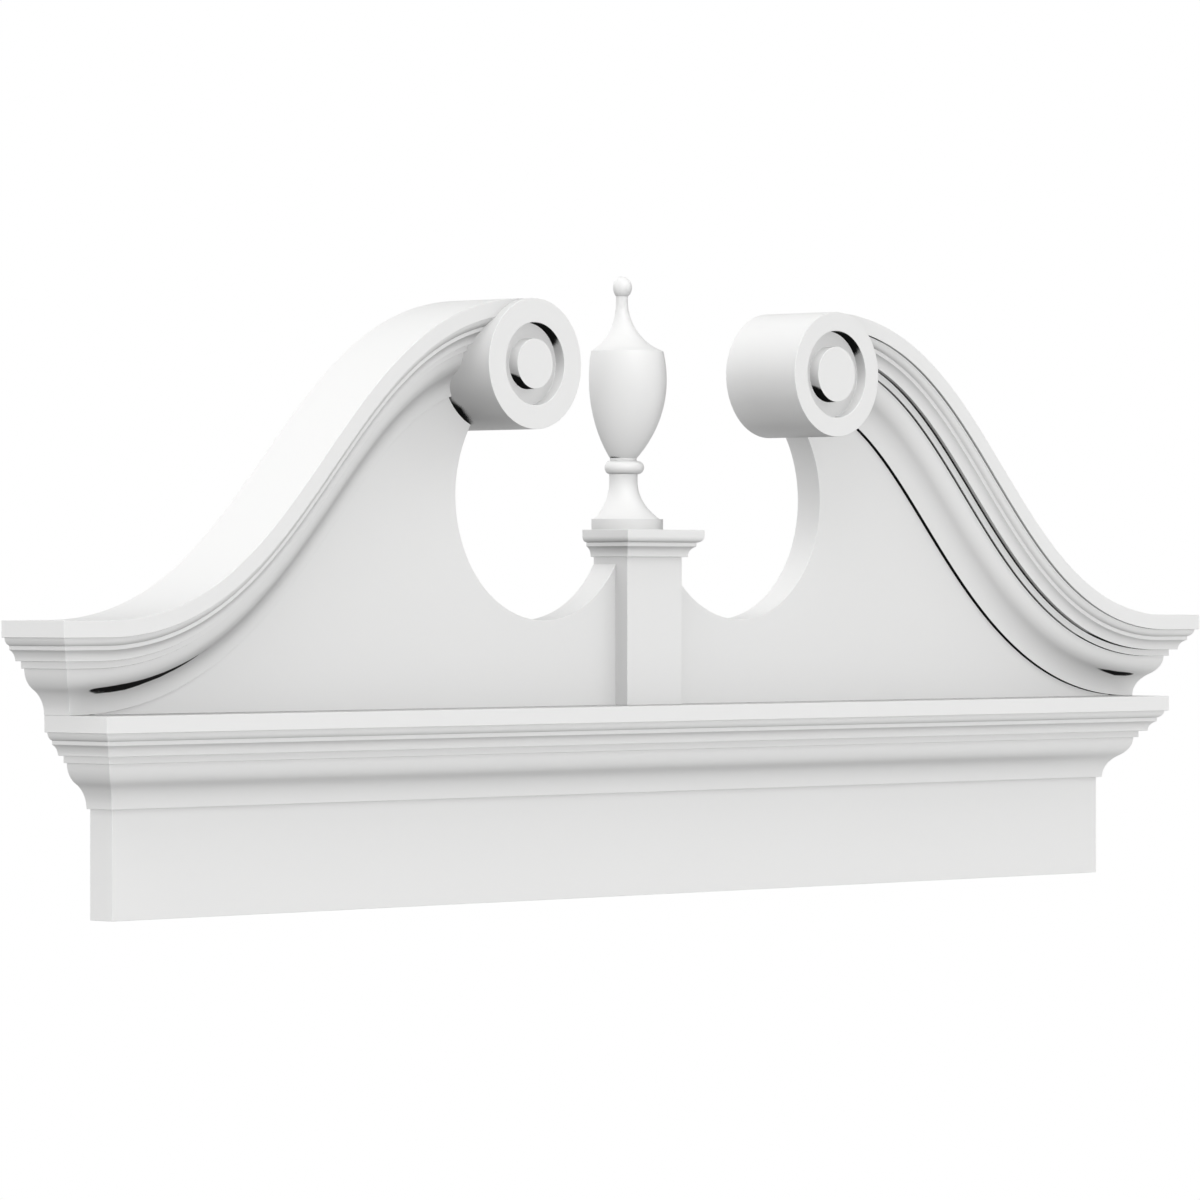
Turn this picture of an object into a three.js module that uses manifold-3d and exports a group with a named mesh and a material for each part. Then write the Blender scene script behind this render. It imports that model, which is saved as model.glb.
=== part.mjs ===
// A broken door pediment with two swan-neck mouldings, for the head of a door surround.
// Millimetres. +X runs along the width, the front faces -Y and +Z is up.
// The origin is the middle of the frieze board's back, and the wall is the plane Y = 0.
import * as THREE from 'three';
import { mergeVertices } from 'three/addons/utils/BufferGeometryUtils.js';
import Module from 'manifold-3d';

// Boards: the frieze below the cornice, and the tympanum above it
const FRIEZE_WIDTH = 1219.2;
const FRIEZE_HEIGHT = 88.7;
const BOARD_THICKNESS = 26.6;
const JOINT_GAP = 0.3;

// The crown section, which the straight cornice and both swan necks share.
// A point is [in from the fascia's face, down from the top].
const CROWN_HEIGHT = 75.3;
const CROWN_PROJECTION = 48.1;
const FASCIA_DROP = 13.6;
const OVOLO_START = [3.0, FASCIA_DROP];
const OVOLO_END = [7.9, 20.1];
const CAVETTO_START = [7.9, 23.4];
const CAVETTO_END = [14.1, 32.3];
const BAND_IN = 20.0;
const BAND_DROP = 38.2;
const OGEE_START = [23.4, BAND_DROP];
const OGEE_END = [44.2, CROWN_HEIGHT];
const OGEE_TURN = 0.454;
const SMALL_ARC_STEPS = 3;
const OGEE_STEPS = 4;

// Swan necks: an S curve from the level end up to the top of the rosette
const NECK_END_HALF_WIDTH = 702.2;
const NECK_HANDLE = 219.7;
const NECK_STATIONS = 30;

// Rosettes: round blocks at the heads of the swan necks, with a sunk ring and a flush boss
const ROSETTE_X = 188.0;
const ROSETTE_RADIUS = 54.7;
const ROSETTE_DEPTH = 82.0;
const ROSETTE_RISE = 287.75;
const ROSETTE_SINK = 10.4;
const ROSETTE_RING = { left: 34.6, right: 38.0 };
const ROSETTE_BOSS = { left: 21.0, right: 24.2 };
const ROSETTE_SEGMENTS = 72;

// Tympanum: each board has a round cut-out beside the plinth
const CUTOUT_X = 122.0;
const CUTOUT_RISE = 178.15;
const CUTOUT_RADIUS = 105.0;
const CUTOUT_SEGMENTS = 96;
const TYMPANUM_TIP = 0.8;

// Plinth and its cap
const PLINTH_WIDTH = 67.8;
const PLINTH_DEPTH = 40.6;
const PLINTH_HEIGHT = 127.2;
const CAP_HEIGHT = 23.4;
const CAP_PROJECTION = 13.9;
const CAP_FASCIA_DROP = 6.0;
const CAP_OVOLO_END = [4.9, 10.9];
const CAP_CAVETTO_START = [4.9, 14.3];
const CAP_CAVETTO_END = [10.1, 22.4];
const CAP_ARC_STEPS = 4;

// Urn: half of a turned finial, flat against the wall.
// A point is [radius, height above the cap's top], and a curve is a start, two handles and an end.
const URN_DISC = [36.5, 9.3];
const URN_FOOT = [[33.9, 9.3], [22.9, 16.8], [14.5, 28.0], [14.5, 42.0]];
const URN_RING = { centre: [14.5, 53.9], radius: 5.7 };
const URN_COLLAR = [13.7, 62.0];
const URN_BOWL = [[13.7, 62.0], [29.7, 80.0], [39.7, 104.0], [39.7, 129.0]];
const URN_SHOULDER = [[39.7, 129.0], [39.7, 138.0], [38.8, 146.0], [36.9, 154.0]];
const URN_LID = [[36.0, 154.7], [20.5, 160.5], [6.1, 176.0], [6.1, 198.0]];
const URN_BALL = { height: 209.4, radius: 9.75 };
const URN_STEPS = { foot: 7, ring: 6, bowl: 8, shoulder: 4, lid: 8, ball: 8 };
const URN_SEGMENTS = 48;

// Heights that follow from the sizes above
const FRIEZE_TOP = FRIEZE_HEIGHT / 2;
const CORNICE_TOP = FRIEZE_TOP + CROWN_HEIGHT;
const NECK_END_TOP = CORNICE_TOP + CROWN_HEIGHT;
const ROSETTE_Z = CORNICE_TOP + ROSETTE_RISE;
const CUTOUT_Z = CORNICE_TOP + CUTOUT_RISE;
const CAP_TOP = CORNICE_TOP + PLINTH_HEIGHT + CAP_HEIGHT;
const CROWN_FRONT = BOARD_THICKNESS + CROWN_PROJECTION;
const NECK_LEVEL_X = NECK_END_HALF_WIDTH - CROWN_PROJECTION;
const SAME_PLACE = 1e-6;

// Finish: satin white paint
const PAINT_COLOUR = 0xf0f0ee;
const PAINT_ROUGHNESS = 0.45;

const wasm = await Module();
wasm.setup();

// Curves of a moulding's section

function arcPoints(centre, radius, from, to, steps) {
  const points = [];
  for (let i = 0; i <= steps; i++) {
    const angle = from + (to - from) * i / steps;
    points.push([centre[0] + radius * Math.cos(angle), centre[1] + radius * Math.sin(angle)]);
  }
  return points;
}

// A convex arc that leaves its start straight down.
function roundOut(start, end, steps) {
  const across = end[0] - start[0];
  const down = end[1] - start[1];
  const radius = (across * across + down * down) / (2 * across);
  const centre = [start[0] + radius, start[1]];
  return arcPoints(centre, radius, Math.PI, Math.PI - Math.asin(down / radius), steps);
}

// A hollow arc that reaches its end straight down.
function hollow(start, end, steps) {
  const across = end[0] - start[0];
  const down = end[1] - start[1];
  const radius = (across * across + down * down) / (2 * across);
  const centre = [end[0] - radius, end[1]];
  return arcPoints(centre, radius, -Math.asin(down / radius), 0, steps);
}

function crownSection() {
  const turn = [0, 1].map((k) => OGEE_START[k] + (OGEE_END[k] - OGEE_START[k]) * OGEE_TURN);
  return [
    [0, 0],
    [0, FASCIA_DROP],
    ...roundOut(OVOLO_START, OVOLO_END, SMALL_ARC_STEPS),
    ...hollow(CAVETTO_START, CAVETTO_END, SMALL_ARC_STEPS),
    [BAND_IN, CAVETTO_END[1]],
    [BAND_IN, BAND_DROP],
    ...roundOut(OGEE_START, turn, OGEE_STEPS),
    ...hollow(turn, OGEE_END, OGEE_STEPS).slice(1),
    [CROWN_PROJECTION, CROWN_HEIGHT],
  ];
}

function capSection() {
  return [
    [0, 0],
    ...roundOut([0, CAP_FASCIA_DROP], CAP_OVOLO_END, CAP_ARC_STEPS),
    ...hollow(CAP_CAVETTO_START, CAP_CAVETTO_END, CAP_ARC_STEPS),
    [CAP_CAVETTO_END[0], CAP_HEIGHT],
    [CAP_PROJECTION, CAP_HEIGHT],
  ];
}

// Solids

// Turns a closed geometry into a solid that can be joined and cut.
function toManifold(geometry) {
  const bare = geometry.clone();
  bare.deleteAttribute('normal');
  bare.deleteAttribute('uv');
  const merged = mergeVertices(bare);
  return new wasm.Manifold(new wasm.Mesh({
    numProp: 3,
    vertProperties: new Float32Array(merged.attributes.position.array),
    triVerts: new Uint32Array(merged.index.array),
  }));
}

function fromManifold(solid) {
  const mesh = solid.getMesh();
  const geometry = new THREE.BufferGeometry();
  geometry.setAttribute('position', new THREE.BufferAttribute(new Float32Array(mesh.vertProperties), 3));
  geometry.setIndex(new THREE.BufferAttribute(new Uint32Array(mesh.triVerts), 1));
  return geometry;
}

// The flat end of a swept solid, seen in the plane of Z and one other axis.
function endTriangles(ring, axis, offset, reversed) {
  const outline = ring.map((point) => new THREE.Vector2(point[axis], point[2]));
  const turn = Math.sign(THREE.ShapeUtils.area(outline));
  return THREE.ShapeUtils.triangulateShape(outline, []).map(([a, b, c]) => {
    const same = Math.sign(THREE.ShapeUtils.area([outline[a], outline[b], outline[c]])) === turn;
    return same !== reversed ? [offset + a, offset + b, offset + c] : [offset + a, offset + c, offset + b];
  });
}

// Skins a row of rings, each a closed loop of as many points, and closes its two ends.
// Rings may share points, and the triangles that this leaves without an area are dropped.
function sweptSolid(rings, firstAxis, lastAxis) {
  const count = rings[0].length;
  const points = rings.flat();
  const lastRing = rings.length - 1;
  const triangles = [
    ...endTriangles(rings[0], firstAxis, 0, true),
    ...endTriangles(rings[lastRing], lastAxis, lastRing * count, false),
  ];
  for (let r = 0; r < lastRing; r++) {
    for (let i = 0; i < count; i++) {
      const j = (i + 1) % count;
      const [a, b, c, d] = [r * count + i, r * count + j, (r + 1) * count + j, (r + 1) * count + i];
      triangles.push([a, b, c], [a, c, d]);
    }
  }
  const apart = (a, b) => points[a].some((value, k) => Math.abs(value - points[b][k]) > SAME_PLACE);
  const kept = triangles.filter(([a, b, c]) => apart(a, b) && apart(b, c) && apart(c, a));
  const geometry = new THREE.BufferGeometry();
  geometry.setAttribute('position', new THREE.Float32BufferAttribute(points.flat(), 3));
  geometry.setIndex(kept.flat());
  return mergeVertices(geometry);
}

// A mirror image, with its faces turned back out.
function mirrored(geometry) {
  const copy = geometry.clone().scale(-1, 1, 1);
  const index = copy.index.array;
  for (let i = 0; i < index.length; i += 3) {
    [index[i], index[i + 1]] = [index[i + 1], index[i]];
  }
  return copy;
}

function boxBetween(low, high) {
  const [x, y, z] = high.map((value, k) => value - low[k]);
  const box = new THREE.BoxGeometry(x, y, z);
  return box.translate(...low.map((value, k) => (value + high[k]) / 2));
}

// A turned solid with its axis along Y. A point of its profile is [radius, y], from back to front.
function turnedAlongY(profile, segments) {
  const points = profile.map(([radius, y]) => new THREE.Vector2(radius, y)).reverse();
  return new THREE.LatheGeometry(points, segments);
}

// A round bar along Y that runs well past the faces of the piece that it cuts.
function roundCutter(x, z, radius, segments) {
  const reach = 2 * ROSETTE_DEPTH;
  const bar = turnedAlongY([[0, reach], [radius, reach], [radius, -reach], [0, -reach]], segments);
  return toManifold(bar.translate(x, 0, z));
}

// A block whose front and two ends carry a moulding, mitred at both front corners.
// Its back is flat on the wall, and it narrows down to the core that it crowns.
function mouldedBlock(section, halfWidth, depth, top) {
  const core = halfWidth - section[section.length - 1][0];
  const bottom = top - section[section.length - 1][1];
  const ring = (side, forward) => [
    [side * core, 0, top],
    ...section.map(([inward, drop]) => [
      side * (halfWidth - inward),
      forward ? -(depth - inward) : 0,
      top - drop,
    ]),
    [side * core, 0, bottom],
  ];
  return sweptSolid([ring(-1, false), ring(-1, true), ring(1, true), ring(1, false)], 0, 0);
}

// Swan necks

const neckCurve = new THREE.CubicBezierCurve(
  new THREE.Vector2(ROSETTE_X, ROSETTE_Z + ROSETTE_RADIUS),
  new THREE.Vector2(ROSETTE_X + NECK_HANDLE, ROSETTE_Z + ROSETTE_RADIUS),
  new THREE.Vector2(NECK_LEVEL_X - NECK_HANDLE, NECK_END_TOP),
  new THREE.Vector2(NECK_LEVEL_X, NECK_END_TOP),
);

// A point of the neck, square below its top curve by the given drop. Stations run from the head down.
function neckPoint(station, drop) {
  const t = station / NECK_STATIONS;
  const along = neckCurve.getTangent(t);
  const point = neckCurve.getPoint(t);
  return [point.x + along.y * drop, point.y - along.x * drop];
}

function neckRing(station, section) {
  const at = (drop, y) => {
    const [x, z] = neckPoint(station, drop);
    return [x, y, z];
  };
  return [
    at(0, 0),
    ...section.map(([inward, drop]) => at(drop, inward - CROWN_FRONT)),
    at(CROWN_HEIGHT, 0),
  ];
}

// The neck and the board are cut round to take the rosette.
function rosetteCutter() {
  return roundCutter(ROSETTE_X, ROSETTE_Z, ROSETTE_RADIUS + JOINT_GAP, ROSETTE_SEGMENTS);
}

function swanNeck() {
  const section = crownSection();
  const cornerRing = (forward) => [
    [NECK_LEVEL_X, 0, NECK_END_TOP],
    ...section.map(([inward, drop]) => [
      NECK_END_HALF_WIDTH - inward,
      forward ? inward - CROWN_FRONT : 0,
      NECK_END_TOP - drop,
    ]),
    [NECK_LEVEL_X, 0, CORNICE_TOP],
  ];
  const rings = [];
  for (let station = 0; station <= NECK_STATIONS; station++) {
    rings.push(neckRing(station, section));
  }
  rings.push(cornerRing(true), cornerRing(false));
  return fromManifold(toManifold(sweptSolid(rings, 1, 0)).subtract(rosetteCutter()));
}

function rosette(side) {
  const sign = side === 'left' ? -1 : 1;
  const floor = ROSETTE_SINK - ROSETTE_DEPTH;
  const ring = ROSETTE_RING[side];
  const boss = ROSETTE_BOSS[side];
  const profile = [
    [0, 0],
    [ROSETTE_RADIUS, 0],
    [ROSETTE_RADIUS, -ROSETTE_DEPTH],
    [ring, -ROSETTE_DEPTH],
    [ring, floor],
    [boss, floor],
    [boss, -ROSETTE_DEPTH],
    [0, -ROSETTE_DEPTH],
  ];
  return turnedAlongY(profile, ROSETTE_SEGMENTS).translate(sign * ROSETTE_X, 0, ROSETTE_Z);
}

// The board under a neck, from the plinth out to where it would run to nothing.
function tympanum() {
  const shape = new THREE.Shape();
  shape.moveTo(PLINTH_WIDTH / 2, CORNICE_TOP);
  for (let station = NECK_STATIONS; station >= 0; station--) {
    const [x, z] = neckPoint(station, CROWN_HEIGHT + JOINT_GAP);
    if (z < CORNICE_TOP + TYMPANUM_TIP) continue;
    if (shape.curves.length === 0) shape.lineTo(x, CORNICE_TOP);
    shape.lineTo(x, z);
  }
  shape.lineTo(ROSETTE_X, CUTOUT_Z);
  shape.lineTo(PLINTH_WIDTH / 2, CUTOUT_Z);
  const board = new THREE.ExtrudeGeometry(shape, { depth: BOARD_THICKNESS, bevelEnabled: false });
  board.rotateX(Math.PI / 2);
  const cutout = roundCutter(CUTOUT_X, CUTOUT_Z, CUTOUT_RADIUS, CUTOUT_SEGMENTS);
  return fromManifold(toManifold(board).subtract(rosetteCutter()).subtract(cutout));
}

// Urn

function bezierPoints(curve, steps) {
  const [a, b, c, d] = curve.map(([radius, height]) => new THREE.Vector2(radius, height));
  return new THREE.CubicBezierCurve(a, b, c, d).getPoints(steps).map((point) => [point.x, point.y]);
}

function urn() {
  const ballStart = Math.asin(URN_LID[3][0] / URN_BALL.radius) - Math.PI / 2;
  const ring = arcPoints(URN_RING.centre, URN_RING.radius, -Math.PI / 2, Math.PI / 2, URN_STEPS.ring);
  const ball = arcPoints([0, URN_BALL.height], URN_BALL.radius, ballStart, Math.PI / 2, URN_STEPS.ball);
  const profile = [
    [0, 0],
    [URN_DISC[0], 0],
    URN_DISC,
    ...bezierPoints(URN_FOOT, URN_STEPS.foot),
    ...ring,
    [URN_COLLAR[0], URN_RING.centre[1] + URN_RING.radius],
    ...bezierPoints(URN_BOWL, URN_STEPS.bowl),
    ...bezierPoints(URN_SHOULDER, URN_STEPS.shoulder).slice(1),
    ...bezierPoints(URN_LID, URN_STEPS.lid),
    ...ball.slice(0, -1),
    [0, URN_BALL.height + URN_BALL.radius],
  ];
  const points = profile.map(([radius, height]) => new THREE.Vector2(radius, height));
  const turned = new THREE.LatheGeometry(points, URN_SEGMENTS).rotateX(Math.PI / 2);
  const reach = CROWN_FRONT;
  const front = boxBetween([-reach, -reach, -reach], [reach, 0, URN_BALL.height + reach]);
  return fromManifold(toManifold(turned).intersect(toManifold(front))).translate(0, 0, CAP_TOP);
}

// The pieces

const pediment = new THREE.Group();

function addPiece(name, geometry) {
  const paint = new THREE.MeshStandardMaterial({
    color: PAINT_COLOUR,
    roughness: PAINT_ROUGHNESS,
    metalness: 0,
  });
  const mesh = new THREE.Mesh(geometry, paint);
  mesh.name = name;
  pediment.add(mesh);
}

const neck = swanNeck();
const board = tympanum();

addPiece('frieze_board', boxBetween(
  [-FRIEZE_WIDTH / 2, -BOARD_THICKNESS, -FRIEZE_TOP],
  [FRIEZE_WIDTH / 2, 0, FRIEZE_TOP],
));
addPiece('cornice', mouldedBlock(
  crownSection(), FRIEZE_WIDTH / 2 + CROWN_PROJECTION, CROWN_FRONT, CORNICE_TOP,
));
addPiece('tympanum_left', mirrored(board));
addPiece('tympanum_right', board);
addPiece('swan_neck_left', mirrored(neck));
addPiece('swan_neck_right', neck);
addPiece('rosette_left', rosette('left'));
addPiece('rosette_right', rosette('right'));
addPiece('plinth', boxBetween(
  [-PLINTH_WIDTH / 2, -PLINTH_DEPTH, CORNICE_TOP],
  [PLINTH_WIDTH / 2, 0, CAP_TOP - CAP_HEIGHT],
));
addPiece('plinth_cap', mouldedBlock(
  capSection(), PLINTH_WIDTH / 2 + CAP_PROJECTION, PLINTH_DEPTH + CAP_PROJECTION, CAP_TOP,
));
addPiece('urn', urn());

export default pediment;
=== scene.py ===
"""A broken door pediment with two swan-neck mouldings, finished in satin white paint.

Metres. +X runs along the width, the front faces -Y and +Z is up. The origin is the middle of the
frieze board's back, and the wall is the plane Y = 0.
"""
import math

import bmesh
import bpy
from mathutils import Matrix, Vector
from mathutils.bvhtree import BVHTree

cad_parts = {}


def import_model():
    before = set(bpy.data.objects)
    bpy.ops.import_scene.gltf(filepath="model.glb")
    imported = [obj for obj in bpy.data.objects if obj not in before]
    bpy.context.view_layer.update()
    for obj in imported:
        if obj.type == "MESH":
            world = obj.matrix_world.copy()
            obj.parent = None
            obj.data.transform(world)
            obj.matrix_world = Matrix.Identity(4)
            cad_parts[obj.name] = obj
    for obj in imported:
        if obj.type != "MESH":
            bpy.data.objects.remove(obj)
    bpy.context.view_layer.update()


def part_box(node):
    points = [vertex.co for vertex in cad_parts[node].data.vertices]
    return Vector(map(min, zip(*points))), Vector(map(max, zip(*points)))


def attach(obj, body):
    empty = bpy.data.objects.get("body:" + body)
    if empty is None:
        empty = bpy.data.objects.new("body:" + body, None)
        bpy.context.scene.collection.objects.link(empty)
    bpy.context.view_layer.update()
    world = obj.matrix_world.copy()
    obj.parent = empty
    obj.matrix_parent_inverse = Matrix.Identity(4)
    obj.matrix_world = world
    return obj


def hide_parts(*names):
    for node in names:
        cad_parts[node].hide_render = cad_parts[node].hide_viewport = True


MM = 0.001

# The crown section, which the cornice and both swan necks share.
# A point is [in from the fascia's face, down from the top], in millimetres.
FASCIA_DROP = 13.6
OVOLO_START, OVOLO_END = (3.0, FASCIA_DROP), (7.9, 20.1)
CAVETTO_START, CAVETTO_END = (7.9, 23.4), (14.1, 32.3)
BAND_IN, BAND_DROP = 20.0, 38.2
OGEE_START, OGEE_END, OGEE_TURN = (23.4, BAND_DROP), (44.2, 75.3), 0.454
CROWN_PROJECTION, CROWN_HEIGHT = 48.1, 75.3

# The swan neck's top line, a Bezier curve with two level handles
NECK_HANDLE = 219.7 * MM
NECK_STATIONS = 96

# Rosettes, by side: the radius of the sunk ring and of the boss in it
ROSETTE_SINK = 10.4 * MM
ROSETTE_RING = {"left": 34.6 * MM, "right": 38.0 * MM}
ROSETTE_BOSS = {"left": 21.0 * MM, "right": 24.2 * MM}

# The round cut-outs in the tympanum boards
CUTOUT_X = 122.0 * MM
CUTOUT_RISE = 178.15 * MM
CUTOUT_RADIUS = 105.0 * MM

# The plinth cap's section
CAP_FASCIA_DROP = 6.0
CAP_OVOLO_END = (4.9, 10.9)
CAP_CAVETTO_START, CAP_CAVETTO_END = (4.9, 14.3), (10.1, 22.4)
CAP_PROJECTION, CAP_HEIGHT = 13.9, 23.4

# The urn. A point is (radius, height above the cap), in millimetres, and a curve is a Bezier curve.
URN_DISC = (36.5, 9.3)
URN_FOOT = ((33.9, 9.3), (22.9, 16.8), (14.5, 28.0), (14.5, 42.0))
URN_RING_CENTRE, URN_RING_RADIUS = (14.5, 53.9), 5.7
URN_COLLAR = 13.7
URN_BOWL = ((13.7, 62.0), (29.7, 80.0), (39.7, 104.0), (39.7, 129.0))
URN_SHOULDER = ((39.7, 129.0), (39.7, 138.0), (38.8, 146.0), (36.9, 154.0))
URN_LID = ((36.0, 154.7), (20.5, 160.5), (6.1, 176.0), (6.1, 198.0))
URN_BALL_HEIGHT, URN_BALL_RADIUS = 209.4, 9.75

# Steps of the curves
ROUND_SIDES = 144
SMALL_ARC_STEPS = 8
OGEE_STEPS = 12
URN_FOOT_STEPS, URN_RING_STEPS, URN_BOWL_STEPS = 20, 16, 24
URN_SHOULDER_STEPS, URN_LID_STEPS, URN_BALL_STEPS = 8, 24, 20
URN_SPIN_STEPS = 72

# Small sizes
ARRIS = 0.4 * MM  # width of an eased edge
ARRIS_STEPS = 2
ARRIS_ANGLE = math.radians(24)  # least bend that is eased
CAULK = 0.4 * MM  # how far a rosette sinks into the neck and board around it
SEED = 1.0 * MM  # size of the plane that merges into a line's first point
THIN_END = 0.8 * MM  # least height where a board runs out
CUTTER_REACH = 0.2  # from the wall plane, either way
SAME_PLACE = 0.001 * MM  # points nearer than this are one
TO_THE_FRONT = 0.9  # least -Y in the normal of a front face

# Camera
CAMERA_PLACE = (-4.00095, -3.84823, 0.22204)
CAMERA_TURN = math.radians(-45.929)
CAMERA_LENS = 192.69
CAMERA_SENSOR = 36.0
CAMERA_SHIFT_Y = -0.01186
CAMERA_SIGHT = 100

# Paint
PAINT_COLOUR = (0.87, 0.87, 0.865, 1)
PAINT_IOR = 1.46
PAINT_ROUGHNESS = (0.36, 0.42)
PAINTED_SHADE_TONE = 0.01  # share of the paint's colour that is left in full painted shade
CLOUD_SCALE, CLOUD_DETAIL, CLOUD_TONE = 7.0, 3.0, (0.995, 1.0)
PEEL_SCALE, PEEL_DETAIL, PEEL_STRENGTH, PEEL_HEIGHT = 650.0, 2.0, 0.25, 0.03 * MM
MIX_ONE, MIX_TWO, MIX_OUT = 6, 7, 2  # colour sockets of a Mix node

# Painted shade in tight corners
NEAR_REACH = 0.024  # how near the faces around stand
OPENNESS_SAMPLES = 16
DOWN_LEFT = (-0.7071, 0.0, -0.7071)
STEEP_DOWN_LEFT = (-0.9, 0.0, -2.6)
TIGHT_SHADE, TIGHT_TURN = (0.20, 0.32), (1.60, 1.76)  # ranges over which the shade comes in

# Painted shade under the necks
FAR_REACH = 0.12  # how far the pieces around are looked for
CLOSURE_RAYS = 96
RAY_LIFT = 0.5 * MM  # how far off the face a ray starts
GOLDEN_ANGLE = math.pi * (3 - math.sqrt(5))  # turn from one ray to the next
DOWN_RIGHT = (0.5, 0.0, -1.0)
LEAST_TURN = 0.3  # least turn that way of a face that is measured
SHELF_SHADE, SHELF_NEAR = (1.34, 1.40), (0.54, 0.60)  # ranges over which the shade comes in

# The floor, a door's height below
FLOOR_SIZE = 6.0
FLOOR_Z = -2.1

# The sky
AMBIENT = 0.33  # its light on the object
SKY_DEPTH = (2.4, 2.6)  # ray depths over which it fades to none

# Lamps
# A lamp is its name, azimuth (0 in front, negative to the left) and elevation in degrees, power,
# spread in degrees, whether it throws a shadow, and whether it is there for the gloss alone.
LAMP_DISTANCE = 3.0
LAMPS = (
    ("key", -54, 27, 1.58, 5, False, False),
    ("high_left", -54, 58, 0.62, 34, True, False),
    ("high_right", 54, 32, 0.35, 34, True, False),
    ("low_right", 90, -32, 0.40, 34, True, False),
    ("low_fill", 18, -32, 0.90, 5, False, False),
    ("low_left", -90, -10, 0.22, 34, True, False),
    ("top_fill", -90, 85, 0.62, 5, False, False),
    ("back", 180, 10, 1.20, 34, True, False),
    ("gloss", -8, 30, 0.70, 20, False, True),
)


# Selecting

def alone(piece):
    bpy.ops.object.select_all(action="DESELECT")
    piece.select_set(True)
    bpy.context.view_layer.objects.active = piece


def open_for_editing(piece):
    alone(piece)
    bpy.ops.object.mode_set(mode="EDIT")


def close_editing():
    bpy.ops.object.mode_set(mode="OBJECT")


def pick(piece, kind, test):
    """Selects, in edit mode, the verts, edges or faces that pass a test, and nothing else."""
    bpy.ops.mesh.select_mode(type={"verts": "VERT", "edges": "EDGE", "faces": "FACE"}[kind])
    bpy.ops.mesh.select_all(action="DESELECT")
    form = bmesh.from_edit_mesh(piece.data)
    for element in getattr(form, kind):
        if test(element):
            element.select_set(True)
    form.select_flush_mode()
    bmesh.update_edit_mesh(piece.data)


def settle(piece):
    """Puts a piece's place and turn into its mesh."""
    alone(piece)
    bpy.ops.object.transform_apply(location=True, rotation=True, scale=True)


def face_out(piece):
    open_for_editing(piece)
    bpy.ops.mesh.select_all(action="SELECT")
    bpy.ops.mesh.remove_doubles(threshold=SAME_PLACE)
    bpy.ops.mesh.dissolve_degenerate(threshold=SAME_PLACE)
    bpy.ops.mesh.select_all(action="SELECT")
    bpy.ops.mesh.normals_make_consistent(inside=False)
    close_editing()


# Curves of a section

def arc(centre, radius, start, end, steps):
    points = []
    for step in range(steps + 1):
        angle = start + (end - start) * step / steps
        points.append((centre[0] + radius * math.cos(angle), centre[1] + radius * math.sin(angle)))
    return points


def round_out(start, end, steps):
    """A convex arc that leaves its start straight down."""
    across, down = end[0] - start[0], end[1] - start[1]
    radius = (across * across + down * down) / (2 * across)
    turn = math.asin(down / radius)
    return arc((start[0] + radius, start[1]), radius, math.pi, math.pi - turn, steps)


def hollow(start, end, steps):
    """A hollow arc that reaches its end straight down."""
    across, down = end[0] - start[0], end[1] - start[1]
    radius = (across * across + down * down) / (2 * across)
    turn = math.asin(down / radius)
    return arc((end[0] - radius, end[1]), radius, -turn, 0, steps)


def bezier(curve, t):
    a, b, c, d = (Vector(point) for point in curve)
    s = 1 - t
    return a * s ** 3 + b * (3 * s * s * t) + c * (3 * s * t * t) + d * t ** 3


def bezier_turn(curve, t):
    """The way that a flat Bezier curve points, as an angle."""
    a, b, c, d = (Vector(point) for point in curve)
    s = 1 - t
    way = (b - a) * (s * s) + (c - b) * (2 * s * t) + (d - c) * (t * t)
    return math.atan2(way.y, way.x)


def bezier_points(curve, steps):
    return [tuple(bezier(curve, step / steps)) for step in range(steps + 1)]


def crown_section():
    turn = tuple(a + (b - a) * OGEE_TURN for a, b in zip(OGEE_START, OGEE_END))
    return [
        (0, 0),
        (0, FASCIA_DROP),
        *round_out(OVOLO_START, OVOLO_END, SMALL_ARC_STEPS),
        *hollow(CAVETTO_START, CAVETTO_END, SMALL_ARC_STEPS),
        (BAND_IN, CAVETTO_END[1]),
        (BAND_IN, BAND_DROP),
        *round_out(OGEE_START, turn, OGEE_STEPS),
        *hollow(turn, OGEE_END, OGEE_STEPS)[1:],
        (CROWN_PROJECTION, CROWN_HEIGHT),
    ]


def cap_section():
    return [
        (0, 0),
        *round_out((0, CAP_FASCIA_DROP), CAP_OVOLO_END, SMALL_ARC_STEPS),
        *hollow(CAP_CAVETTO_START, CAP_CAVETTO_END, SMALL_ARC_STEPS),
        (CAP_CAVETTO_END[0], CAP_HEIGHT),
        (CAP_PROJECTION, CAP_HEIGHT),
    ]


# Making pieces

def wire(name, points):
    """A line of edges through points, drawn by extruding one vertex. It stays open for editing."""
    bpy.ops.mesh.primitive_plane_add(size=SEED, location=points[0])
    piece = bpy.context.object
    piece.name = name
    settle(piece)
    open_for_editing(piece)
    bpy.ops.mesh.select_mode(type="VERT")
    bpy.ops.mesh.select_all(action="SELECT")
    bpy.ops.mesh.merge(type="CENTER")
    for here, there in zip(points, points[1:]):
        step = Vector(there) - Vector(here)
        bpy.ops.mesh.extrude_region_move(TRANSFORM_OT_translate={"value": step})
    bpy.ops.mesh.select_all(action="SELECT")
    return piece


def block(name, low, high):
    """A squared board or block."""
    low, high = Vector(low), Vector(high)
    bpy.ops.mesh.primitive_cube_add(size=1, location=(low + high) / 2)
    piece = bpy.context.object
    piece.name = name
    piece.scale = high - low
    settle(piece)
    return piece


def round_bar(name, place, radius, back, front):
    """A round bar along Y, between two depths."""
    bpy.ops.mesh.primitive_cylinder_add(
        vertices=ROUND_SIDES, radius=radius, depth=back - front,
        location=(place[0], (back + front) / 2, place[1]), rotation=(math.pi / 2, 0, 0))
    piece = bpy.context.object
    piece.name = name
    settle(piece)
    return piece


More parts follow.
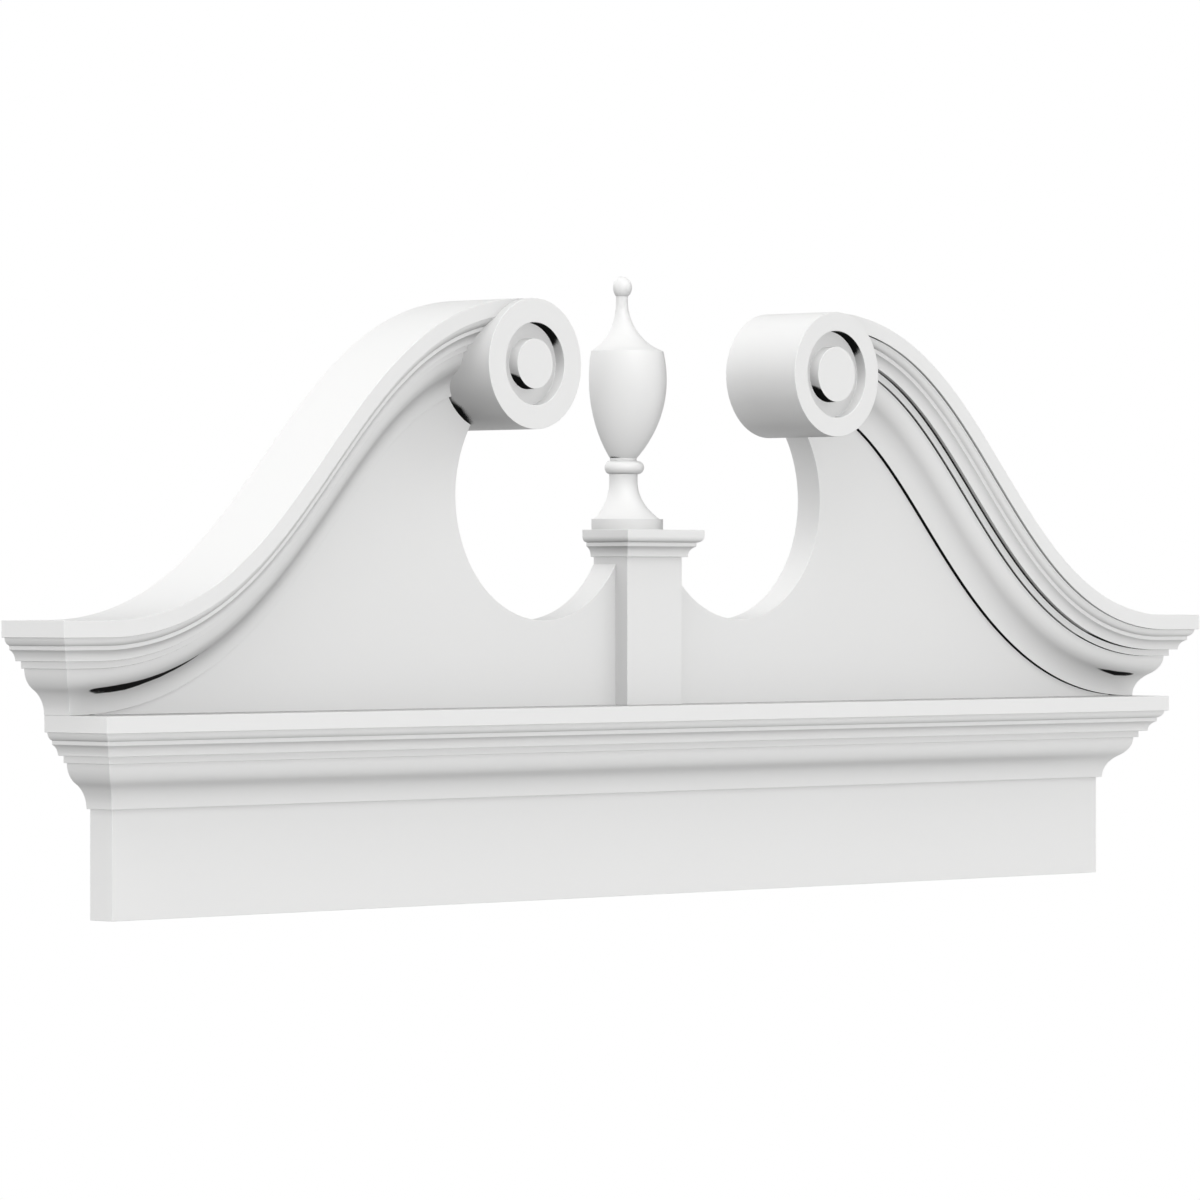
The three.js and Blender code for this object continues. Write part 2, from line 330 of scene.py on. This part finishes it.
def moulded_block(name, section, half_width, depth, top):
    """A block whose front and ends carry a moulding: its plan is drawn up and widened, step by step."""
    inward, drop = (value * MM for value in section[-1])
    wide, deep = half_width - inward, depth - inward
    bpy.ops.mesh.primitive_plane_add(size=1, location=(0, -deep / 2, top - drop))
    piece = bpy.context.object
    piece.name = name
    piece.scale = (2 * wide, deep, 1)
    settle(piece)
    open_for_editing(piece)
    bpy.ops.mesh.select_all(action="SELECT")
    for step_in, step_drop in reversed(section[:-1]):
        new_wide, new_deep = half_width - step_in * MM, depth - step_in * MM
        rise = drop - step_drop * MM
        bpy.ops.mesh.extrude_region_move(TRANSFORM_OT_translate={"value": (0, 0, rise)})
        bpy.ops.transform.resize(
            value=(new_wide / wide, new_deep / deep, 1), center_override=(0, 0, 0))
        wide, deep, drop = new_wide, new_deep, step_drop * MM
    close_editing()
    face_out(piece)
    return piece


def cut_round(piece, place, radius):
    """Cuts a round hole right through a piece, from front to back."""
    cutter = round_bar("cutter", place, radius, CUTTER_REACH, -CUTTER_REACH)
    alone(piece)
    modifier = piece.modifiers.new("cut", "BOOLEAN")
    modifier.operation = "DIFFERENCE"
    modifier.solver = "EXACT"
    modifier.object = cutter
    bpy.ops.object.modifier_apply(modifier=modifier.name)
    bpy.data.objects.remove(cutter)


def ease(piece):
    """Eases the sharp edges, as paint does, and shades the rest smooth."""
    alone(piece)
    bpy.ops.object.shade_smooth()
    modifier = piece.modifiers.new("arris", "BEVEL")
    modifier.width = ARRIS
    modifier.segments = ARRIS_STEPS
    modifier.limit_method = "ANGLE"
    modifier.angle_limit = ARRIS_ANGLE
    modifier.harden_normals = True
    bpy.ops.object.modifier_apply(modifier=modifier.name)


def mirrored(piece, name):
    alone(piece)
    bpy.ops.object.duplicate()
    copy = bpy.context.object
    copy.name = name
    copy.scale.x = -1
    settle(copy)
    face_out(copy)
    return copy


# Swan necks

def neck_curve(head, level):
    """The neck's top line in the plane of X and Z."""
    return (head, (head[0] + NECK_HANDLE, head[1]), (level[0] - NECK_HANDLE, level[1]), level)


def swan_neck(name, curve, front, seat):
    """The crown section swept down the neck, then mitred and returned to the wall."""
    section = crown_section()
    head_x, head_z = curve[0]
    ring = [(head_x, inward * MM - front, head_z - drop * MM) for inward, drop in section]
    ring = [(head_x, 0, head_z), *ring, (head_x, 0, head_z - CROWN_HEIGHT * MM)]
    piece = wire(name, ring)
    bpy.ops.mesh.edge_face_add()
    bpy.ops.mesh.select_mode(type="FACE")
    place, turn = Vector(curve[0]), 0.0
    for station in range(1, NECK_STATIONS + 1):
        t = station / NECK_STATIONS
        new_place, new_turn = bezier(curve, t), bezier_turn(curve, t)
        step = new_place - place
        bpy.ops.mesh.extrude_region_move(TRANSFORM_OT_translate={"value": (step.x, 0, step.y)})
        bpy.ops.transform.rotate(
            value=new_turn - turn, orient_axis="Y", center_override=(new_place.x, 0, new_place.y))
        place, turn = new_place, new_turn
    end_x = place.x
    corner = (end_x, -seat, 0)
    bpy.ops.mesh.extrude_region_move(TRANSFORM_OT_translate={"value": (0, 0, 0)})
    form = bmesh.from_edit_mesh(piece.data)
    cap = {vert.index for face in form.faces if face.select for vert in face.verts}
    pick(piece, "verts", lambda vert: vert.index in cap and vert.co.y < -seat - SAME_PLACE)
    bpy.ops.transform.resize(value=(1, math.sqrt(2), 1), center_override=corner)
    bpy.ops.transform.rotate(value=-math.pi / 4, orient_axis="Z", center_override=corner)
    pick(piece, "faces", lambda face: all(vert.index in cap for vert in face.verts))
    bpy.ops.mesh.extrude_region_move(TRANSFORM_OT_translate={"value": (0, 0, 0)})
    bpy.ops.transform.resize(value=(1, 0, 1), center_override=(0, 0, 0))
    close_editing()
    face_out(piece)
    return piece


def tympanum_board(name, curve, low_x, base, thickness, cutout):
    """The board under a neck, from the plinth out to where it runs to nothing."""
    under = []
    for station in range(NECK_STATIONS, -1, -1):
        t = station / NECK_STATIONS
        place, turn = bezier(curve, t), bezier_turn(curve, t)
        drop = CROWN_HEIGHT * MM
        under.append((place.x + math.sin(turn) * drop, place.y - math.cos(turn) * drop))
    under = [point for point in under if point[1] > base + THIN_END]
    outline = [(low_x, base), (under[0][0], base), *under, (curve[0][0], cutout[1]), (low_x, cutout[1])]
    piece = wire(name, [(x, 0, z) for x, z in outline])
    bpy.ops.mesh.edge_face_add()
    bpy.ops.mesh.select_mode(type="FACE")
    bpy.ops.mesh.extrude_region_move(TRANSFORM_OT_translate={"value": (0, -thickness, 0)})
    close_editing()
    face_out(piece)
    return piece


def rosette(name, place, radius, depth, ring, boss):
    """A round block: its face is inset twice, and the band between the two is sunk."""
    piece = round_bar(name, place, radius, 0, -depth)
    open_for_editing(piece)
    pick(piece, "faces", lambda face: face.normal.y < -TO_THE_FRONT)
    bpy.ops.mesh.inset(thickness=radius - ring)
    bpy.ops.mesh.inset(thickness=ring - boss)
    axis = Vector((place[0], -depth, place[1]))
    middle, slack = (ring + boss) / 2, (ring - boss) / 4
    pick(piece, "faces", lambda face: (
        face.normal.y < -TO_THE_FRONT
        and abs((face.calc_center_median() - axis).length - middle) < slack))
    bpy.ops.mesh.extrude_region_move(TRANSFORM_OT_translate={"value": (0, ROSETTE_SINK, 0)})
    close_editing()
    face_out(piece)
    return piece


def urn_profile():
    ball_start = math.asin(URN_LID[3][0] / URN_BALL_RADIUS) - math.pi / 2
    quarter = math.pi / 2
    return [
        (0, 0),
        (URN_DISC[0], 0),
        URN_DISC,
        *bezier_points(URN_FOOT, URN_FOOT_STEPS),
        *arc(URN_RING_CENTRE, URN_RING_RADIUS, -quarter, quarter, URN_RING_STEPS),
        (URN_COLLAR, URN_RING_CENTRE[1] + URN_RING_RADIUS),
        *bezier_points(URN_BOWL, URN_BOWL_STEPS),
        *bezier_points(URN_SHOULDER, URN_SHOULDER_STEPS)[1:],
        *bezier_points(URN_LID, URN_LID_STEPS),
        *arc((0, URN_BALL_HEIGHT), URN_BALL_RADIUS, ball_start, quarter, URN_BALL_STEPS)[:-1],
        (0, URN_BALL_HEIGHT + URN_BALL_RADIUS),
    ]


def urn(name, base):
    """Half of a turned finial: its outline spun by half a turn, and closed flat at the back."""
    points = [(radius * MM, 0, base + height * MM) for radius, height in urn_profile()]
    piece = wire(name, points)
    bpy.ops.mesh.spin(
        steps=URN_SPIN_STEPS, angle=math.pi, center=(0, 0, 0), axis=(0, 0, 1))
    bpy.ops.mesh.select_all(action="SELECT")
    bpy.ops.mesh.remove_doubles(threshold=SAME_PLACE)
    pick(piece, "edges", lambda edge: edge.is_boundary)
    bpy.ops.mesh.edge_face_add()
    close_editing()
    face_out(piece)
    return piece


# How closed in a face is

def dome_ways(count):
    """Ways over a dome along Z, spread evenly by the light that each brings to a face."""
    ways = []
    for number in range(count):
        low, turn = (number + 0.5) / count, number * GOLDEN_ANGLE
        across = math.sqrt(low)
        ways.append(Vector((across * math.cos(turn), across * math.sin(turn), math.sqrt(1 - low))))
    return ways


def measure_closure(piece, around):
    """Keeps, at each point turned down, the share of the rays from it that the pieces around it stop,
    which sets the painted shade under the necks.
    """
    depsgraph = bpy.context.evaluated_depsgraph_get()
    trees = [BVHTree.FromObject(other, depsgraph) for other in around]
    ways = dome_ways(CLOSURE_RAYS)
    closure = piece.data.attributes.new("closure", "FLOAT", "POINT")
    for vert, kept in zip(piece.data.vertices, closure.data):
        if vert.normal.dot(Vector(DOWN_RIGHT)) < LEAST_TURN:
            continue
        start = vert.co + vert.normal * RAY_LIFT
        spin = vert.normal.to_track_quat("Z", "Y")
        stopped = 0
        for way in ways:
            ray = spin @ way
            stopped += any(tree.ray_cast(start, ray, FAR_REACH)[0] for tree in trees)
        kept.value = stopped / CLOSURE_RAYS


# Finish

def ramp(tree, value, low, high, start=0.0, end=1.0):
    """A value eased from start at low to end at high."""
    node = tree.nodes.new("ShaderNodeMapRange")
    node.interpolation_type = "SMOOTHSTEP"
    node.inputs["From Min"].default_value = low
    node.inputs["From Max"].default_value = high
    node.inputs["To Min"].default_value = start
    node.inputs["To Max"].default_value = end
    tree.links.new(value, node.inputs["Value"])
    return node.outputs["Result"]


def combine(tree, operation, one, two):
    node = tree.nodes.new("ShaderNodeMath")
    node.operation = operation
    tree.links.new(one, node.inputs[0])
    tree.links.new(two, node.inputs[1])
    return node.outputs["Value"]


def noise(tree, place, scale, detail):
    node = tree.nodes.new("ShaderNodeTexNoise")
    node.inputs["Scale"].default_value = scale
    node.inputs["Detail"].default_value = detail
    tree.links.new(place, node.inputs["Vector"])
    return node.outputs["Fac"]


def stretch(tree, value, low, high):
    """A value from 0 to 1, stretched evenly from low to high."""
    node = tree.nodes.new("ShaderNodeMapRange")
    node.inputs["To Min"].default_value = low
    node.inputs["To Max"].default_value = high
    tree.links.new(value, node.inputs["Value"])
    return node.outputs["Result"]


def openness(tree):
    """1 on a free face, less where other faces stand near it."""
    node = tree.nodes.new("ShaderNodeAmbientOcclusion")
    node.samples = OPENNESS_SAMPLES
    node.inputs["Distance"].default_value = NEAR_REACH
    return node.outputs["AO"]


def measured_closure(tree):
    node = tree.nodes.new("ShaderNodeAttribute")
    node.attribute_name = "closure"
    return node.outputs["Fac"]


def facing(tree, normal, way):
    node = tree.nodes.new("ShaderNodeVectorMath")
    node.operation = "DOT_PRODUCT"
    node.inputs[1].default_value = way
    tree.links.new(normal, node.inputs[0])
    return node.outputs["Value"]


def painted_shade_mask(tree, normal):
    """The painted shade in tight corners turned down and to the left, and under the necks' low ends, as a
    mask from 0 to 1.
    """
    near = openness(tree)
    tight = ramp(tree, combine(tree, "SUBTRACT", facing(tree, normal, DOWN_LEFT), near), *TIGHT_SHADE)
    turn = ramp(tree, combine(tree, "SUBTRACT", facing(tree, normal, STEEP_DOWN_LEFT), near), *TIGHT_TURN)
    corner = combine(tree, "MULTIPLY", tight, turn)
    closed_down = combine(tree, "ADD", facing(tree, normal, DOWN_RIGHT), measured_closure(tree))
    shelf = ramp(tree, closed_down, *SHELF_SHADE)
    free = ramp(tree, near, *SHELF_NEAR)
    ledge = combine(tree, "MULTIPLY", shelf, free)
    return combine(tree, "MAXIMUM", corner, ledge)


def satin_white_paint():
    """Sprayed satin paint, near white, with a faint unevenness and orange peel; painted shade darkens its
    tight down-turned corners and the necks' low undersides.
    """
    material = bpy.data.materials.new("satin_white_paint")
    material.use_nodes = True
    tree = material.node_tree
    nodes, links = tree.nodes, tree.links
    shader = nodes["Principled BSDF"]
    shader.inputs["Metallic"].default_value = 0.0
    shader.inputs["IOR"].default_value = PAINT_IOR
    place = nodes.new("ShaderNodeTexCoord")
    cloud = noise(tree, place.outputs["Object"], CLOUD_SCALE, CLOUD_DETAIL)
    # Painted shade: the paint is darkened almost to black where this mask is full, in down-turned corners
    # and under the necks' low ends
    deep = painted_shade_mask(tree, place.outputs["Normal"])
    clear = ramp(tree, deep, 0.0, 1.0, 1.0, PAINTED_SHADE_TONE)
    cloud_and_painted_shade = combine(tree, "MULTIPLY", stretch(tree, cloud, *CLOUD_TONE), clear)
    tint = nodes.new("ShaderNodeMix")
    tint.data_type = "RGBA"
    tint.blend_type = "MULTIPLY"
    tint.inputs["Factor"].default_value = 1.0
    tint.inputs[MIX_ONE].default_value = PAINT_COLOUR
    links.new(cloud_and_painted_shade, tint.inputs[MIX_TWO])
    links.new(tint.outputs[MIX_OUT], shader.inputs["Base Color"])
    # Where the painted shade is full the paint is also made fully rough, so that gloss does not lift it
    roughness = combine(tree, "MAXIMUM", stretch(tree, cloud, *PAINT_ROUGHNESS), deep)
    links.new(roughness, shader.inputs["Roughness"])
    bump = nodes.new("ShaderNodeBump")
    bump.inputs["Strength"].default_value = PEEL_STRENGTH
    bump.inputs["Distance"].default_value = PEEL_HEIGHT
    peel = noise(tree, place.outputs["Object"], PEEL_SCALE, PEEL_DETAIL)
    links.new(peel, bump.inputs["Height"])
    links.new(bump.outputs["Normal"], shader.inputs["Normal"])
    return material


def finish(piece, node, paint):
    """Paints a piece, hangs it on the root body, and hides the CAD node that it stands for."""
    piece.data.materials.clear()
    piece.data.materials.append(paint)
    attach(piece, "root")
    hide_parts(node)


# Stage

def studio_floor():
    """A pale floor far below, which neither lights nor shades the object."""
    material = bpy.data.materials.new("pale_floor")
    material.use_nodes = True
    shader = material.node_tree.nodes["Principled BSDF"]
    shader.inputs["Base Color"].default_value = (0, 0, 0, 1)
    shader.inputs["Roughness"].default_value = 1.0
    shader.inputs["Specular IOR Level"].default_value = 0.0
    shader.inputs["Emission Color"].default_value = (1, 1, 1, 1)
    shader.inputs["Emission Strength"].default_value = 1.0
    bpy.ops.mesh.primitive_plane_add(size=FLOOR_SIZE, location=(0, 0, FLOOR_Z))
    floor = bpy.context.object
    floor.name = "floor"
    floor.data.materials.append(material)
    floor.visible_diffuse = False
    floor.visible_glossy = False
    floor.visible_shadow = False


def camera():
    data = bpy.data.cameras.new("camera")
    data.sensor_width = CAMERA_SENSOR
    data.lens = CAMERA_LENS
    data.shift_y = CAMERA_SHIFT_Y
    data.clip_end = CAMERA_SIGHT
    thing = bpy.data.objects.new("camera", data)
    thing.location = CAMERA_PLACE
    thing.rotation_euler = (math.pi / 2, 0, CAMERA_TURN)
    bpy.context.scene.collection.objects.link(thing)
    bpy.context.scene.camera = thing


def world():
    """White to the eye, and a dim even light to the object."""
    sky = bpy.data.worlds.new("studio")
    bpy.context.scene.world = sky
    sky.use_nodes = True
    sky.cycles.max_bounces = 0
    nodes, links = sky.node_tree.nodes, sky.node_tree.links
    nodes.clear()
    light = nodes.new("ShaderNodeBackground")
    eye = nodes.new("ShaderNodeBackground")
    path = nodes.new("ShaderNodeLightPath")
    fade = nodes.new("ShaderNodeMapRange")
    fade.inputs["From Min"].default_value = SKY_DEPTH[0]
    fade.inputs["From Max"].default_value = SKY_DEPTH[1]
    fade.inputs["To Min"].default_value = AMBIENT
    fade.inputs["To Max"].default_value = 0.0
    links.new(path.outputs["Ray Depth"], fade.inputs["Value"])
    links.new(fade.outputs["Result"], light.inputs["Strength"])
    both = nodes.new("ShaderNodeMixShader")
    out = nodes.new("ShaderNodeOutputWorld")
    light.inputs["Color"].default_value = (1, 1, 1, 1)
    eye.inputs["Color"].default_value = (1, 1, 1, 1)
    links.new(path.outputs["Is Camera Ray"], both.inputs["Fac"])
    links.new(light.outputs["Background"], both.inputs[1])
    links.new(eye.outputs["Background"], both.inputs[2])
    links.new(both.outputs["Shader"], out.inputs["Surface"])


def lamps():
    """Broad soft lamps, and bare fills that throw no shadow. None of them bounces."""
    for name, azimuth, elevation, power, spread, shadow, gloss in LAMPS:
        data = bpy.data.lights.new(name, "SUN")
        data.energy = power
        data.angle = math.radians(spread)
        data.use_shadow = shadow
        data.cycles.max_bounces = 0
        turn, rise = math.radians(azimuth), math.radians(elevation)
        way = Vector((math.sin(turn) * math.cos(rise), -math.cos(turn) * math.cos(rise), math.sin(rise)))
        lamp = bpy.data.objects.new(name, data)
        lamp.rotation_euler = way.to_track_quat("Z", "Y").to_euler()
        lamp.location = way * LAMP_DISTANCE
        lamp.visible_glossy = gloss
        lamp.visible_diffuse = not gloss
        bpy.context.scene.collection.objects.link(lamp)


def look():
    scene = bpy.context.scene
    scene.view_settings.view_transform = "Standard"
    scene.view_settings.look = "None"


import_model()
studio_floor()
camera()
world()
lamps()
look()

frieze_low, frieze_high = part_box("frieze_board")
cornice_low, cornice_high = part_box("cornice")
rosette_low, rosette_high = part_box("rosette_right")
plinth_low, plinth_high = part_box("plinth")
cap_low, cap_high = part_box("plinth_cap")
neck_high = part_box("swan_neck_right")[1]

board = -frieze_low.y
crown_front = -cornice_low.y
cornice_top = cornice_high.z
rosette_radius = (rosette_high.x - rosette_low.x) / 2
rosette_place = ((rosette_low.x + rosette_high.x) / 2, (rosette_low.z + rosette_high.z) / 2)
head = (rosette_place[0], rosette_place[1] + rosette_radius)
level = (neck_high.x - CROWN_PROJECTION * MM, cornice_top + CROWN_HEIGHT * MM)
curve = neck_curve(head, level)
cutout = (CUTOUT_X, cornice_top + CUTOUT_RISE)

paint = satin_white_paint()

frieze = block("frieze", frieze_low, frieze_high)
ease(frieze)
finish(frieze, "frieze_board", paint)

cornice = moulded_block("crown_cornice", crown_section(), cornice_high.x, crown_front, cornice_top)
ease(cornice)
finish(cornice, "cornice", paint)

plinth = block("plinth_block", plinth_low, plinth_high)
ease(plinth)
finish(plinth, "plinth", paint)

cap = moulded_block("plinth_crown", cap_section(), cap_high.x, -cap_low.y, cap_high.z)
ease(cap)
finish(cap, "plinth_cap", paint)

right_neck = swan_neck("right_swan_neck", curve, crown_front, board)
left_neck = mirrored(right_neck, "left_swan_neck")
right_board = tympanum_board("right_tympanum_board", curve, plinth_high.x, cornice_top, board, cutout)
cut_round(right_board, cutout, CUTOUT_RADIUS)
left_board = mirrored(right_board, "left_tympanum_board")
sides = (("left", -1, left_neck, left_board), ("right", 1, right_neck, right_board))
for side, sign, neck, under in sides:
    place = (sign * rosette_place[0], rosette_place[1])
    for piece in (neck, under):
        ease(piece)
        cut_round(piece, place, rosette_radius - CAULK)
    measure_closure(neck, (neck, under, cornice))
    finish(neck, f"swan_neck_{side}", paint)
    finish(under, f"tympanum_{side}", paint)
    head_block = rosette(
        f"{side}_rosette", place, rosette_radius, -rosette_low.y, ROSETTE_RING[side], ROSETTE_BOSS[side])
    ease(head_block)
    finish(head_block, f"rosette_{side}", paint)

finial = urn("urn_finial", cap_high.z)
ease(finial)
finish(finial, "urn", paint)
